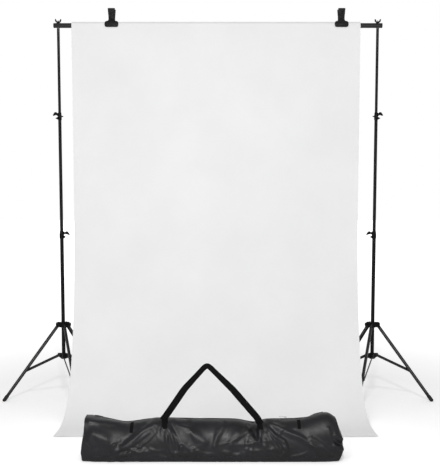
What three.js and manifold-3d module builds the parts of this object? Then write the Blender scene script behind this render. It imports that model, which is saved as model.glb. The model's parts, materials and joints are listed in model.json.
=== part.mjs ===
// A background support system: two folding light stands, a four-piece crossbar, two spring clips,
// a white backdrop sheet and a carry bag.
// Millimetres, +Z up. +X is to the right and -Y is the side that faces the audience. The origin is
// on the floor, in the middle of the area that the whole kit covers. The dimensions below are laid
// out from the floor point midway between the two columns, and the kit is moved at the end.
// Each stand is built in a frame of its own, with its column on Z and +X pointing away from the
// backdrop, and the left stand is that frame mirrored.

import * as THREE from "three";
import { mergeVertices } from "three/addons/utils/BufferGeometryUtils.js";
import Module from "manifold-3d";

const wasm = await Module();
wasm.setup();

// ---------- driving dimensions ----------

const GAP = 0.3; // running clearance between two pieces
const TUBE_WALL = 1.1;
const ROUND_SIDES = 24;

const COLUMN_SPACING = 1950;
const BAR_AXIS_Z = 2344;
const BAR_LENGTH = 2006;
const BAR_RADIUS = 14.5;
const BAR_SECTIONS = ["left_end", "left_middle", "right_middle", "right_end"];
const BAR_SPIGOT_LENGTH = 50;

const LOWER_TUBE_RADIUS = 11.4;
const MIDDLE_TUBE_RADIUS = 9.9;
const UPPER_TUBE_RADIUS = 8.4;
const LOWER_TUBE_BOTTOM_Z = 290; // inside the brace hub
const LOWER_LOCK_Z = 1046; // underside of the lower lock
const UPPER_LOCK_Z = 1776; // underside of the upper lock
const LOCK_HEIGHT = 44;
const TUBE_OVERLAP = 90; // length of tube still inside the one below it

const LEG_AZIMUTHS = { outer: 7, rear: 127, front: 247 }; // degrees, from +X of the stand's frame
const LEG_PIVOT = { r: 35, z: 497 };
const FOOT_REACH = 404; // from the column's axis to where a leg's centre line meets the floor
const LEG_WIDTH = 15;
const LEG_DEPTH = 18;
const BRACE_PIVOT = { r: 35, z: 306 };
const BRACE_PIN_SHARE = 0.6; // how far down the leg the brace meets it
const BRACE_DEPTH = 17;
const BRACE_THICKNESS = 2.7;
const BRACE_OFFSET = 9.3; // from the leg's middle plane to the brace's near face
const PIN_RADIUS = 2.5;

const HUB_RADIUS = 20;
const LEG_HUB = { bottom: 486, top: 520 };
const BRACE_HUB = { bottom: 287, top: 322 };
const LUG_REACH = 45;

const SHEET_LEFT_X = -892;
const SHEET_RIGHT_X = 868;
const SHEET_THICKNESS = 1.6;
const SHEET_FRONT_Y = -800;
const SHEET_SWEEP_TOP_Z = 1400; // the sheet hangs straight above this height
const SHEET_REAR_HEM_Z = 2250;
const SHEET_CLEARANCE = 0.5; // from the sheet to the floor
const SHEET_BAR_RADIUS = 20; // inside of the sheet's loose turn over the bar

const CLIP_XS = { left: -647, right: 752 };
const CLIP_PIVOT_RISE = 48; // above the bar's axis
const CLIP_TOP_RISE = 99.5;

const BAG = { left: -673, right: 614, front: -1250, rear: -1050, height: 190 };
const BAG_HANDLE_Y = -1185;
const BAG_ZIP_Y = -1120;
const WEBBING_WIDTH = 28;
const WEBBING_THICKNESS = 2.5;

// ---------- materials ----------

const paint = (color, roughness, metalness) =>
  new THREE.MeshStandardMaterial({ color, roughness, metalness });

const MATERIALS = {
  blackTube: paint(0x151516, 0.4, 0.6),
  blackPlastic: paint(0x1b1b1c, 0.55, 0),
  steel: paint(0xa9acb0, 0.35, 1),
  rubber: paint(0x121212, 0.85, 0),
  whiteFabric: paint(0xececec, 0.95, 0),
  blackNylon: paint(0x24262c, 0.45, 0),
  webbing: paint(0x161618, 0.9, 0),
};

// ---------- geometry helpers ----------

const radians = THREE.MathUtils.degToRad;

// A closed three.js geometry as a manifold-3d solid.
function solid(geometry) {
  const bare = geometry.clone();
  bare.deleteAttribute("normal");
  bare.deleteAttribute("uv");
  const merged = mergeVertices(bare, 1e-4);
  return new wasm.Manifold(
    new wasm.Mesh({
      numProp: 3,
      vertProperties: new Float32Array(merged.attributes.position.array),
      triVerts: new Uint32Array(merged.index.array),
    }),
  );
}

// A manifold-3d solid as a three.js geometry.
function geometryOf(made) {
  const mesh = made.getMesh();
  const geometry = new THREE.BufferGeometry();
  geometry.setAttribute("position", new THREE.BufferAttribute(mesh.vertProperties, 3));
  geometry.setIndex(new THREE.BufferAttribute(mesh.triVerts, 1));
  geometry.computeVertexNormals();
  return geometry;
}

const joined = (first, ...others) => others.reduce((all, next) => all.add(next), first);
const cut = (body, ...tools) => tools.reduce((left, tool) => left.subtract(tool), body);

function named(name, body, material) {
  const mesh = new THREE.Mesh(geometryOf(body), material);
  mesh.name = name;
  return mesh;
}

const outline = (points) => new THREE.Shape(points.map(([x, y]) => new THREE.Vector2(x, y)));

function extruded(points, depth) {
  return new THREE.ExtrudeGeometry(outline(points), {
    depth,
    bevelEnabled: false,
    curveSegments: 12,
  });
}

// An outline of (x, z) points, filled from y0 to y1.
function acrossY(points, y0, y1) {
  const geometry = extruded(points, y1 - y0);
  geometry.rotateX(Math.PI / 2);
  geometry.translate(0, y1, 0);
  return solid(geometry);
}

// An outline of (y, z) points, filled from x0 to x1.
function alongX(points, x0, x1) {
  const geometry = extruded(points, x1 - x0);
  const turn = new THREE.Matrix4().makeBasis(
    new THREE.Vector3(0, 1, 0),
    new THREE.Vector3(0, 0, 1),
    new THREE.Vector3(1, 0, 0),
  );
  geometry.applyMatrix4(turn);
  geometry.translate(x0, 0, 0);
  return solid(geometry);
}

// An outline of (x, y) points, filled from z0 to z1.
function upZ(points, z0, z1) {
  const geometry = extruded(points, z1 - z0);
  geometry.translate(0, 0, z0);
  return solid(geometry);
}

// A closed profile of (radius, z) points turned about Z. The points run with the outer face upward.
function turned(profile, sides = ROUND_SIDES) {
  const closed = [...profile, profile[0]];
  const geometry = new THREE.LatheGeometry(
    closed.map(([radius, z]) => new THREE.Vector2(radius, z)),
    sides,
  );
  geometry.rotateX(Math.PI / 2);
  return solid(geometry);
}

const ringProfile = (inner, outer, z0, z1) => [
  [outer, z0],
  [outer, z1],
  [inner, z1],
  [inner, z0],
];

const ring = (inner, outer, z0, z1) => turned(ringProfile(inner, outer, z0, z1));
const tube = (radius, z0, z1) => ring(radius - TUBE_WALL, radius, z0, z1);

function rod(radius, z0, z1, sides = 16) {
  const geometry = new THREE.CylinderGeometry(radius, radius, z1 - z0, sides);
  geometry.rotateX(Math.PI / 2);
  geometry.translate(0, 0, (z0 + z1) / 2);
  return solid(geometry);
}

// A round bar through (x, z), running along Y from y0 to y1.
function rodAcrossY(radius, x, z, y0, y1, sides = 12) {
  const geometry = new THREE.CylinderGeometry(radius, radius, y1 - y0, sides);
  geometry.translate(x, (y0 + y1) / 2, z);
  return solid(geometry);
}

// The same solid with its own Z axis laid along +X.
const laidAlongX = (body) => body.rotate([0, 90, 0]);

// Points of an arc from one angle to another, in degrees.
function arc(centreX, centreY, radius, from, to, steps) {
  return Array.from({ length: steps + 1 }, (_, i) => {
    const angle = radians(from + ((to - from) * i) / steps);
    return [centreX + radius * Math.cos(angle), centreY + radius * Math.sin(angle)];
  });
}

// ---------- a stand: legs, braces and hubs ----------

// A leg's outline is laid out in its own upright plane: r is out from the column and z is up.
// s runs down the leg from its pivot, and n is square to the leg, on its upper side.
const legTilt = Math.atan2(FOOT_REACH - LEG_PIVOT.r, LEG_PIVOT.z);
const legLength = Math.hypot(FOOT_REACH - LEG_PIVOT.r, LEG_PIVOT.z);

const onLeg = (s, n) => [
  LEG_PIVOT.r + s * Math.sin(legTilt) + n * Math.cos(legTilt),
  LEG_PIVOT.z - s * Math.cos(legTilt) + n * Math.sin(legTilt),
];

const strip = (s0, s1, n0, n1) => [onLeg(s0, n0), onLeg(s1, n0), onLeg(s1, n1), onLeg(s0, n1)];

const LEG_END = legLength - 22; // the channel stops short of the floor, inside its rubber foot
const CAP_START = legLength - 44;
const CAP_WALL = 1.4;
const SOLE_DEPTH = 1.5; // what the floor takes off the round toe, which leaves a flat sole

// A leg is a channel with its web on the upper side. Its top end turns on a pin in the leg hub.
function legBody() {
  const half = LEG_WIDTH / 2;
  const rise = LEG_DEPTH / 2;
  const inside = half - TUBE_WALL;
  const outer = acrossY(strip(-8, LEG_END, -rise, rise), -half, half);
  const hollow = acrossY(strip(-9, LEG_END + 1, -rise - 1, rise - TUBE_WALL), -inside, inside);
  const pinHole = rodAcrossY(PIN_RADIUS + GAP, LEG_PIVOT.r, LEG_PIVOT.z, -half - 1, half + 1);
  return cut(outer, hollow, pinHole);
}

// The rubber foot is a sleeve over the leg's end, with a round toe that is flat on the floor.
function footCapBody() {
  const half = LEG_WIDTH / 2 + GAP;
  const rise = LEG_DEPTH / 2 + GAP;
  const outside = rise + CAP_WALL;
  const width = half + 1;
  const toeAt = (LEG_PIVOT.z - outside + SOLE_DEPTH) / Math.cos(legTilt);
  const sleeve = acrossY(strip(CAP_START, toeAt, -outside, outside), -width, width);
  const toe = rodAcrossY(outside, ...onLeg(toeAt, 0), -width, width, ROUND_SIDES);
  const socket = acrossY(strip(CAP_START - 1, LEG_END + GAP, -rise, rise), -half, half);
  const underfoot = upZ(
    [[0, -width - 1], [2 * FOOT_REACH, -width - 1], [2 * FOOT_REACH, width + 1], [0, width + 1]],
    -4 * outside,
    0,
  );
  return cut(joined(sleeve, toe), socket, underfoot);
}

const [bracePinR, bracePinZ] = onLeg(BRACE_PIN_SHARE * legLength, 0);
const braceLength = Math.hypot(bracePinR - BRACE_PIVOT.r, bracePinZ - BRACE_PIVOT.z);
const braceTilt = Math.atan2(bracePinZ - BRACE_PIVOT.z, bracePinR - BRACE_PIVOT.r);

// A brace is a flat strap beside the leg, with round ends and a rivet at the leg's end.
function braceBody() {
  const half = BRACE_DEPTH / 2;
  const flat = [
    ...arc(0, 0, half, 90, 270, 8),
    ...arc(braceLength, 0, half, -90, 90, 8),
  ].map(([along, up]) => [
    BRACE_PIVOT.r + along * Math.cos(braceTilt) - up * Math.sin(braceTilt),
    BRACE_PIVOT.z + along * Math.sin(braceTilt) + up * Math.cos(braceTilt),
  ]);
  const far = BRACE_OFFSET + BRACE_THICKNESS;
  const strap = acrossY(flat, BRACE_OFFSET, far);
  const rivet = rodAcrossY(4.5, bracePinR, bracePinZ, BRACE_OFFSET + 1, far + 1.8);
  const pinHole = rodAcrossY(
    PIN_RADIUS + GAP,
    BRACE_PIVOT.r,
    BRACE_PIVOT.z,
    BRACE_OFFSET - 1,
    far + 1,
  );
  return cut(joined(strap, rivet), pinHole);
}

// A lug is a plate standing out from a hub, round under its pivot and level on top.
function lug(pivot, bottom, top, y0, y1) {
  const root = HUB_RADIUS - 7;
  const plate = [
    [root, bottom],
    [pivot.r - 8, bottom],
    ...arc(pivot.r, pivot.z, LUG_REACH - pivot.r, -75, 0, 5),
    [LUG_REACH, top - 7],
    [LUG_REACH - 5, top],
    [root, top],
  ];
  return acrossY(plate, y0, y1);
}

const eachLegWay = (body) =>
  Object.values(LEG_AZIMUTHS).map((azimuth) => body.rotate([0, 0, azimuth]));

// The leg hub slides on the lower tube. Each leg turns on a pin between two lugs.
function legHubBody() {
  const near = LEG_WIDTH / 2 + 0.5;
  const far = near + 3;
  const pair = joined(
    lug(LEG_PIVOT, LEG_HUB.bottom + 1, LEG_HUB.top - 1, near, far),
    lug(LEG_PIVOT, LEG_HUB.bottom + 1, LEG_HUB.top - 1, -far, -near),
    rodAcrossY(PIN_RADIUS, LEG_PIVOT.r, LEG_PIVOT.z, -near - 1, near + 1),
  );
  const core = turned([
    [HUB_RADIUS - 2, LEG_HUB.bottom],
    [HUB_RADIUS, LEG_HUB.bottom + 3],
    [HUB_RADIUS, LEG_HUB.top - 4],
    [HUB_RADIUS - 4, LEG_HUB.top],
    [LOWER_TUBE_RADIUS + GAP, LEG_HUB.top],
    [LOWER_TUBE_RADIUS + GAP, LEG_HUB.bottom],
  ]);
  const bore = rod(LOWER_TUBE_RADIUS + GAP, LEG_HUB.bottom - 5, LEG_HUB.top + 5, ROUND_SIDES);
  return cut(joined(core, ...eachLegWay(pair)), bore);
}

// The brace hub is fixed at the foot of the lower tube. Each brace turns on a stub pin of one lug.
function braceHubBody() {
  const near = BRACE_OFFSET + BRACE_THICKNESS + 0.4;
  const single = joined(
    lug(BRACE_PIVOT, BRACE_HUB.bottom + 2, BRACE_HUB.top - 2, near, near + 4),
    rodAcrossY(PIN_RADIUS, BRACE_PIVOT.r, BRACE_PIVOT.z, BRACE_OFFSET, near + 1),
  );
  const core = turned([
    [HUB_RADIUS - 3, BRACE_HUB.bottom],
    [HUB_RADIUS, BRACE_HUB.bottom + 4],
    [HUB_RADIUS, BRACE_HUB.top - 3],
    [HUB_RADIUS - 2, BRACE_HUB.top],
    [LOWER_TUBE_RADIUS + GAP, BRACE_HUB.top],
    [LOWER_TUBE_RADIUS + GAP, BRACE_HUB.bottom],
  ]);
  return joined(core, ...eachLegWay(single));
}

const KNOB_AZIMUTH = 187;
const KNOB_Z = (LEG_HUB.bottom + LEG_HUB.top) / 2 + 2;

// A lobed thumb knob on a short screw, lying along +X.
function hubKnobBody() {
  const lobes = 5;
  const lobedEdge = Array.from({ length: 40 }, (_, i) => {
    const angle = (2 * Math.PI * i) / 40;
    const radius = 11 + 1.6 * Math.cos(lobes * angle);
    return [radius * Math.cos(angle), radius * Math.sin(angle)];
  });
  const head = upZ(lobedEdge, 36, 48);
  const neck = rod(6, 30, 37);
  const screw = rod(3, HUB_RADIUS + GAP, 31);
  return laidAlongX(joined(head, neck, screw));
}

// ---------- a stand: telescoping column ----------

// A lock collar grips the tube that slides inside a wider one. Its lever side points along -X:
// two ears above carry the lever's pin, and a boss below holds the clamping bolt. A stub on the
// other side is the end of the screw that sets the grip.
function lockBody(z, outerTubeRadius, innerTubeRadius) {
  const shoulder = z + 26;
  const collar = turned([
    [outerTubeRadius + 1.8, z],
    [outerTubeRadius + COLLAR_WALL, z + 3],
    [outerTubeRadius + COLLAR_WALL, shoulder],
    [innerTubeRadius + COLLAR_WALL, z + 34],
    [innerTubeRadius + COLLAR_WALL, z + LOCK_HEIGHT - 1],
    [innerTubeRadius + 1.8, z + LOCK_HEIGHT],
    [innerTubeRadius + GAP, z + LOCK_HEIGHT],
    [innerTubeRadius + GAP, shoulder - 2],
    [outerTubeRadius + GAP, shoulder - 2],
    [outerTubeRadius + GAP, z],
  ]);
  const wall = innerTubeRadius + 1.5;
  const ear = [
    [-wall, z + 22],
    [-wall, z + 42],
    ...arc(LEVER_PIN_X, z + LEVER_PIN_RISE, 5.5, 90, 270, 6),
  ];
  const ears = joined(acrossY(ear, 4.2, 7.2), acrossY(ear, -7.2, -4.2));
  const pin = rodAcrossY(1.8, LEVER_PIN_X, z + LEVER_PIN_RISE, -5, 5);
  const boss = acrossY(
    [
      [-outerTubeRadius - 1, z + 1],
      [-outerTubeRadius - 1, z + 18],
      ...arc(CLAMP_BOLT_X, z + CLAMP_BOLT_RISE, 5, 90, 270, 6),
    ],
    -6,
    6,
  );
  const bolt = rodAcrossY(3.6, CLAMP_BOLT_X, z + CLAMP_BOLT_RISE, -13, 13);
  const stub = laidAlongX(rod(3.5, outerTubeRadius + 1, GRIP_STUB.reach))
    .rotate([0, 0, GRIP_STUB.azimuth])
    .translate([0, 0, z + GRIP_STUB.rise]);
  return joined(collar, ears, pin, boss, bolt, stub);
}

const COLLAR_WALL = 2.3;
const LEVER_PIN_X = -20;
const LEVER_PIN_RISE = 33;
const CLAMP_BOLT_X = -18;
const CLAMP_BOLT_RISE = 9;
const GRIP_STUB = { reach: 21, azimuth: 48, rise: 21 };

// The lever hooks outward and down from its pin to a blunt tip.
function leverBody(z) {
  const pinZ = z + LEVER_PIN_RISE;
  const hook = [
    ...arc(LEVER_PIN_X, pinZ, 5.2, -80, 100, 6),
    [LEVER_PIN_X - 7, pinZ + 11],
    [LEVER_PIN_X - 13, pinZ + 11.5],
    [LEVER_PIN_X - 19, pinZ + 8],
    [LEVER_PIN_X - 29, pinZ - 6],
    [LEVER_PIN_X - 29.5, pinZ - 10.5],
    [LEVER_PIN_X - 26, pinZ - 12],
    [LEVER_PIN_X - 14, pinZ - 7.5],
  ];
  const pinHole = rodAcrossY(1.8 + GAP, LEVER_PIN_X, pinZ, -5, 5);
  return cut(acrossY(hook, -3.8, 3.8), pinHole);
}

const STUD_RADIUS = 4;
const STUD_TOP_Z = BAR_AXIS_Z + 30;
const UPPER_TUBE_TOP_Z = BAR_AXIS_Z - BAR_RADIUS - 2.5;

// The stud plugs the upper tube and carries the bar on its flange.
function studBody() {
  const plug = UPPER_TUBE_RADIUS - TUBE_WALL - GAP;
  return turned([
    [0, UPPER_TUBE_TOP_Z - 40],
    [plug, UPPER_TUBE_TOP_Z - 40],
    [plug, UPPER_TUBE_TOP_Z + GAP],
    [UPPER_TUBE_RADIUS, UPPER_TUBE_TOP_Z + GAP],
    [UPPER_TUBE_RADIUS, BAR_AXIS_Z - BAR_RADIUS - GAP],
    [STUD_RADIUS, BAR_AXIS_Z - BAR_RADIUS - GAP],
    [STUD_RADIUS, STUD_TOP_Z - 1],
    [STUD_RADIUS - 1, STUD_TOP_Z],
    [0, STUD_TOP_Z],
  ]);
}

// The wing nut's two wings spread like a butterfly's.
function wingNutBody() {
  const seat = BAR_AXIS_Z + BAR_RADIUS + GAP;
  const barrel = rod(8.5, seat, seat + 9);
  const wing = [
    [4.8, seat + 2],
    [9, seat + 1],
    [17.5, seat + 9],
    [19.5, seat + 20],
    [16, seat + 25],
    [11.5, seat + 20],
    [7, seat + 9],
    [4.8, seat + 9],
  ];
  const right = acrossY(wing, -2.2, 2.2);
  const bore = rod(STUD_RADIUS + 0.5, seat - 5, seat + 30);
  return cut(joined(barrel, right, right.rotate([0, 0, 180])), bore);
}

function lockAt(sideName, level, z, outerTubeRadius, innerTubeRadius, azimuth) {
  const group = new THREE.Group();
  group.rotation.z = radians(azimuth);
  const lock = lockBody(z, outerTubeRadius, innerTubeRadius);
  group.add(named(`${sideName}_${level}_lock`, lock, MATERIALS.blackPlastic));
  group.add(named(`${sideName}_${level}_lock_lever`, leverBody(z), MATERIALS.blackPlastic));
  return group;
}

const UPPER_LOCK_AZIMUTH = 132; // turns the upper lever to the front and outward

function stand(sideName) {
  const group = new THREE.Group();
  const add = (name, body, material) => group.add(named(`${sideName}_${name}`, body, material));

  const lowerTop = LOWER_LOCK_Z + 24 - GAP;
  const middleTop = UPPER_LOCK_Z + 24 - GAP;
  const lowerTube = tube(LOWER_TUBE_RADIUS, LOWER_TUBE_BOTTOM_Z, lowerTop);
  const middleTube = tube(MIDDLE_TUBE_RADIUS, LOWER_LOCK_Z - TUBE_OVERLAP, middleTop);
  const upperTube = tube(UPPER_TUBE_RADIUS, UPPER_LOCK_Z - TUBE_OVERLAP, UPPER_TUBE_TOP_Z);
  add("lower_tube", lowerTube, MATERIALS.blackTube);
  add("middle_tube", middleTube, MATERIALS.blackTube);
  add("upper_tube", upperTube, MATERIALS.blackTube);
  add("stud", studBody(), MATERIALS.steel);
  add("wing_nut", wingNutBody(), MATERIALS.blackPlastic);
  group.add(lockAt(sideName, "lower", LOWER_LOCK_Z, LOWER_TUBE_RADIUS, MIDDLE_TUBE_RADIUS, 0));
  group.add(
    lockAt(
      sideName,
      "upper",
      UPPER_LOCK_Z,
      MIDDLE_TUBE_RADIUS,
      UPPER_TUBE_RADIUS,
      UPPER_LOCK_AZIMUTH,
    ),
  );

  add("leg_hub", legHubBody(), MATERIALS.blackPlastic);
  add("brace_hub", braceHubBody(), MATERIALS.blackPlastic);
  const knob = named(`${sideName}_hub_knob`, hubKnobBody(), MATERIALS.blackPlastic);
  knob.rotation.z = radians(KNOB_AZIMUTH);
  knob.position.z = KNOB_Z;
  group.add(knob);

  for (const [place, azimuth] of Object.entries(LEG_AZIMUTHS)) {
    const plane = new THREE.Group();
    plane.rotation.z = radians(azimuth);
    plane.add(named(`${sideName}_${place}_leg`, legBody(), MATERIALS.blackTube));
    plane.add(named(`${sideName}_${place}_foot_cap`, footCapBody(), MATERIALS.rubber));
    plane.add(named(`${sideName}_${place}_brace`, braceBody(), MATERIALS.blackTube));
    group.add(plane);
  }
  return group;
}

// ---------- crossbar ----------

// A bar section along +Z from z0 to z1. All but the last end in a narrower spigot for the next one.
function barSectionBody(z0, z1, hasSpigot) {
  const inner = BAR_RADIUS - TUBE_WALL;
  if (!hasSpigot) return tube(BAR_RADIUS, z0, z1);
  const spigot = inner - GAP;
  const tip = z1 + BAR_SPIGOT_LENGTH;
  return turned([
    [BAR_RADIUS, z0],
    [BAR_RADIUS, z1],
    [spigot, z1],
    [spigot, tip],
    [spigot - TUBE_WALL, tip],
    [spigot - TUBE_WALL, z1 - 2],
    [inner, z1 - 4],
    [inner, z0],
  ]);
}

// A plastic plug closes each open end of the bar.
function barCapBody() {
  const plug = BAR_RADIUS - TUBE_WALL - GAP;
  return turned([
    [0, -14],
    [plug, -14],
    [plug, GAP],
    [BAR_RADIUS, GAP],
    [BAR_RADIUS, 2],
    [BAR_RADIUS - 1.5, 3],
    [0, 3],
  ]);
}

function crossbar() {
  const group = new THREE.Group();
  const half = BAR_LENGTH / 2 - 3;
  const length = (2 * half) / BAR_SECTIONS.length;
  const last = BAR_SECTIONS.length - 1;
  const studHole = (x) => rod(STUD_RADIUS + 0.6, -BAR_RADIUS - 5, BAR_RADIUS + 5).translate([x, 0, 0]);
  BAR_SECTIONS.forEach((place, i) => {
    const start = -half + i * length;
    const body = laidAlongX(barSectionBody(start, start + length - GAP, i < last));
    const holes = { 0: [studHole(-COLUMN_SPACING / 2)], [last]: [studHole(COLUMN_SPACING / 2)] };
    group.add(named(`crossbar_${place}`, cut(body, ...(holes[i] ?? [])), MATERIALS.blackTube));
  });
  for (const [sideName, side] of [["left", -1], ["right", 1]]) {
    const cap = laidAlongX(barCapBody()).translate([half, 0, 0]);
    const turnedCap = side > 0 ? cap : cap.rotate([0, 0, 180]);
    group.add(named(`crossbar_${sideName}_cap`, turnedCap, MATERIALS.blackPlastic));
  }
  group.position.z = BAR_AXIS_Z;
  return group;
}

// ---------- spring clips ----------

// Side view of a clip's front half, as (y, z) from the bar's axis: handle, waist and jaw.
const clipSide = [
  [-19, CLIP_TOP_RISE],
  [-23, CLIP_TOP_RISE],
  [-15, 66],
  [-11.5, 55],
  [-11.5, 44],
  [-15, 34],
  [-23.5, 17],
  [-26.8, 5],
  [-27, -6],
  [-26.3, -13.5],
  [-22.7, -13.5],
  [-23, -6],
  [-23, 3],
  [-20.3, 12.5],
  [-14.5, 22],
  [-8, 36],
  [-7.5, 44],
  [-7.5, 55],
  [-11, 66],
];

// Front view of a half clip, right side only: the narrow handle and the wide mouth.
const clipFace = [
  [19.5, CLIP_TOP_RISE],
  [22, CLIP_TOP_RISE - 3],
  [19, 38],
  [20, 29],
  [24, 24.5],
  [33, 23],
  [39, 18.5],
  [42, 10],
  [42, -2],
  [38.5, -10],
  [31, -13.5],
];

const KNUCKLE = { from: 5.2, to: 14, radius: 6 };

// The halves differ only in which side of the spring their knuckle is on.
function clipHalfBody() {
  const face = [...clipFace, ...clipFace.map(([x, z]) => [-x, z]).reverse()];
  const wall = alongX([...clipSide].reverse(), -45, 45);
  const shape = acrossY([...face].reverse(), -40, 0);
  const eye = laidAlongX(rod(KNUCKLE.radius, -KNUCKLE.to, -KNUCKLE.from));
  const web = alongX(
    [
      [-8, CLIP_PIVOT_RISE + 5],
      [-8, CLIP_PIVOT_RISE - 5],
      [0, CLIP_PIVOT_RISE - KNUCKLE.radius],
      [0, CLIP_PIVOT_RISE + KNUCKLE.radius],
    ],
    -KNUCKLE.to,
    -KNUCKLE.from,
  );
  const bore = laidAlongX(rod(CLIP_PIN_RADIUS + GAP, -30, 30)).translate([0, 0, CLIP_PIVOT_RISE]);
  const body = joined(wall.intersect(shape), eye.translate([0, 0, CLIP_PIVOT_RISE]), web);
  return cut(body, bore);
}

const CLIP_PIN_RADIUS = 1.8;
const SPRING_WIRE = 0.8;
const SPRING_COIL = 3.6;
const SPRING_TURNS = 3.5;

// The torsion spring's coil between the knuckles.
class Helix extends THREE.Curve {
  getPoint(t, target = new THREE.Vector3()) {
    const angle = 2 * Math.PI * SPRING_TURNS * t;
    const x = -3.2 + 6.4 * t;
    return target.set(x, SPRING_COIL * Math.cos(angle), SPRING_COIL * Math.sin(angle));
  }
}

function springGeometry() {
  const wire = outline(arc(0, 0, SPRING_WIRE, 0, 300, 5));
  return new THREE.ExtrudeGeometry(wire, {
    steps: 44,
    bevelEnabled: false,
    extrudePath: new Helix(),
  });
}

function clip(sideName, x) {
  const group = new THREE.Group();
  const half = clipHalfBody();
  const pin = laidAlongX(rod(CLIP_PIN_RADIUS, -16, 16)).translate([0, 0, CLIP_PIVOT_RISE]);
  const spring = solid(springGeometry()).translate([0, 0, CLIP_PIVOT_RISE]);
  group.add(named(`${sideName}_clip_front`, half, MATERIALS.blackPlastic));
  group.add(named(`${sideName}_clip_rear`, half.rotate([0, 0, 180]), MATERIALS.blackPlastic));
  group.add(named(`${sideName}_clip_pin`, pin, MATERIALS.steel));
  group.add(named(`${sideName}_clip_spring`, spring, MATERIALS.steel));
  group.position.set(x, 0, BAR_AXIS_Z);
  return group;
}

// ---------- backdrop ----------

// Side view of the sheet's inner face, as (y, z): up the rear flap, over the bar, down the front
// and out along the floor on a sweep.
function sheetLine() {
  const floor = SHEET_CLEARANCE + SHEET_THICKNESS;
  const sweep = new THREE.CubicBezierCurve(
    new THREE.Vector2(-SHEET_BAR_RADIUS, SHEET_SWEEP_TOP_Z),
    new THREE.Vector2(-SHEET_BAR_RADIUS, 520),
    new THREE.Vector2(-230, floor),
    new THREE.Vector2(-620, floor),
  );
  return [
    [SHEET_BAR_RADIUS, SHEET_REAR_HEM_Z],
    ...arc(0, BAR_AXIS_Z, SHEET_BAR_RADIUS, 0, 180, 12),
    ...sweep.getPoints(24).map((p) => [p.x, p.y]),
    [SHEET_FRONT_Y, floor],
  ];
}

function backdropBody() {
  const spine = sheetLine();
  const outer = spine.map((point, i) => {
    const before = spine[Math.max(i - 1, 0)];
    const after = spine[Math.min(i + 1, spine.length - 1)];
    const run = Math.hypot(after[0] - before[0], after[1] - before[1]);
    const side = [(after[1] - before[1]) / run, -(after[0] - before[0]) / run];
    return [point[0] + SHEET_THICKNESS * side[0], point[1] + SHEET_THICKNESS * side[1]];
  });
  return alongX([...spine, ...outer.reverse()], SHEET_LEFT_X, SHEET_RIGHT_X);
}

// ---------- carry bag ----------

// The bag lies on the floor, in front of the sheet. Seen from the front its top dips between the
// corners and the handle; seen from the end it is a rounded box.
function bagBody() {
  const { left, right, front, rear, height } = BAG;
  const face = [
    [left, 40],
    [left + 25, 0],
    [right - 25, 0],
    [right, 40],
    [right, 110],
    [right - 35, 185],
    [right - 82, height + 42],
    [right - 190, height],
    [left + 200, height],
    [left + 22, height + 29],
  ];
  const top = height + 42;
  const end = [
    [front + 6, 0],
    [rear - 20, 0],
    [rear, 25],
    [rear, top - 100],
    [rear - 20, top - 50],
    [rear - 60, top],
    [front + 60, top],
    [front + 18, top - 50],
    [front, top - 100],
    [front, 12],
  ];
  return acrossY(face, front, rear).intersect(alongX(end, left, right));
}

// One length of webbing stands up from the bag in a tall V, sewn down at both ends.
function bagHandleBody() {
  const base = BAG.height + 2;
  const apex = { x: -53, z: 470 };
  const feet = { left: -262, right: 206 };
  const thick = WEBBING_WIDTH * 1.2; // the strap slants, so it is wider measured level
  const strap = [
    [feet.left - thick / 2, base],
    [feet.left + thick / 2, base],
    [apex.x, apex.z - 40],
    [feet.right - thick / 2, base],
    [feet.right + thick / 2, base],
    [apex.x + 10, apex.z],
    [apex.x - 10, apex.z],
  ];
  const half = WEBBING_THICKNESS / 2;
  return acrossY(strap, BAG_HANDLE_Y - half, BAG_HANDLE_Y + half);
}

// The zip's slider with its pull tab lying flat.
function zipSliderBody() {
  const z = BAG.height + 0.5;
  const x = 330;
  const body = alongX(
    [
      [BAG_ZIP_Y - 5, z],
      [BAG_ZIP_Y + 5, z],
      [BAG_ZIP_Y + 4, z + 5],
      [BAG_ZIP_Y - 4, z + 5],
    ],
    x,
    x + 12,
  );
  const pull = upZ(
    [
      [x - 24, BAG_ZIP_Y - 3],
      [x + 4, BAG_ZIP_Y - 2],
      [x + 4, BAG_ZIP_Y + 2],
      [x - 24, BAG_ZIP_Y + 3],
    ],
    z + 3,
    z + 4.6,
  );
  return joined(body, pull);
}

// ---------- assembly ----------

const kit = new THREE.Group();

const leftStand = stand("left");
leftStand.position.x = -COLUMN_SPACING / 2;
leftStand.scale.x = -1;
const rightStand = stand("right");
rightStand.position.x = COLUMN_SPACING / 2;
kit.add(leftStand, rightStand, crossbar());

for (const [sideName, x] of Object.entries(CLIP_XS)) kit.add(clip(sideName, x));

kit.add(named("backdrop", backdropBody(), MATERIALS.whiteFabric));
kit.add(named("bag_body", bagBody(), MATERIALS.blackNylon));
kit.add(named("bag_handle", bagHandleBody(), MATERIALS.webbing));
kit.add(named("bag_zip_slider", zipSliderBody(), MATERIALS.steel));

kit.updateMatrixWorld(true);
const covered = new THREE.Box3().setFromObject(kit, true);
kit.position.y = -(covered.min.y + covered.max.y) / 2;

const support = new THREE.Group();
support.add(kit);

export default support;
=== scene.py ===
# The looks of a background support system: two folding light stands with a crossbar, two spring
# clips, a white backdrop sheet and a carry bag. Metres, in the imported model's frame: +Z up, and
# -Y is the side the camera stands on.

import json
import math
import random

import bmesh
import bpy
import numpy as np
from mathutils import Matrix, Vector
from mathutils.bvhtree import BVHTree


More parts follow.
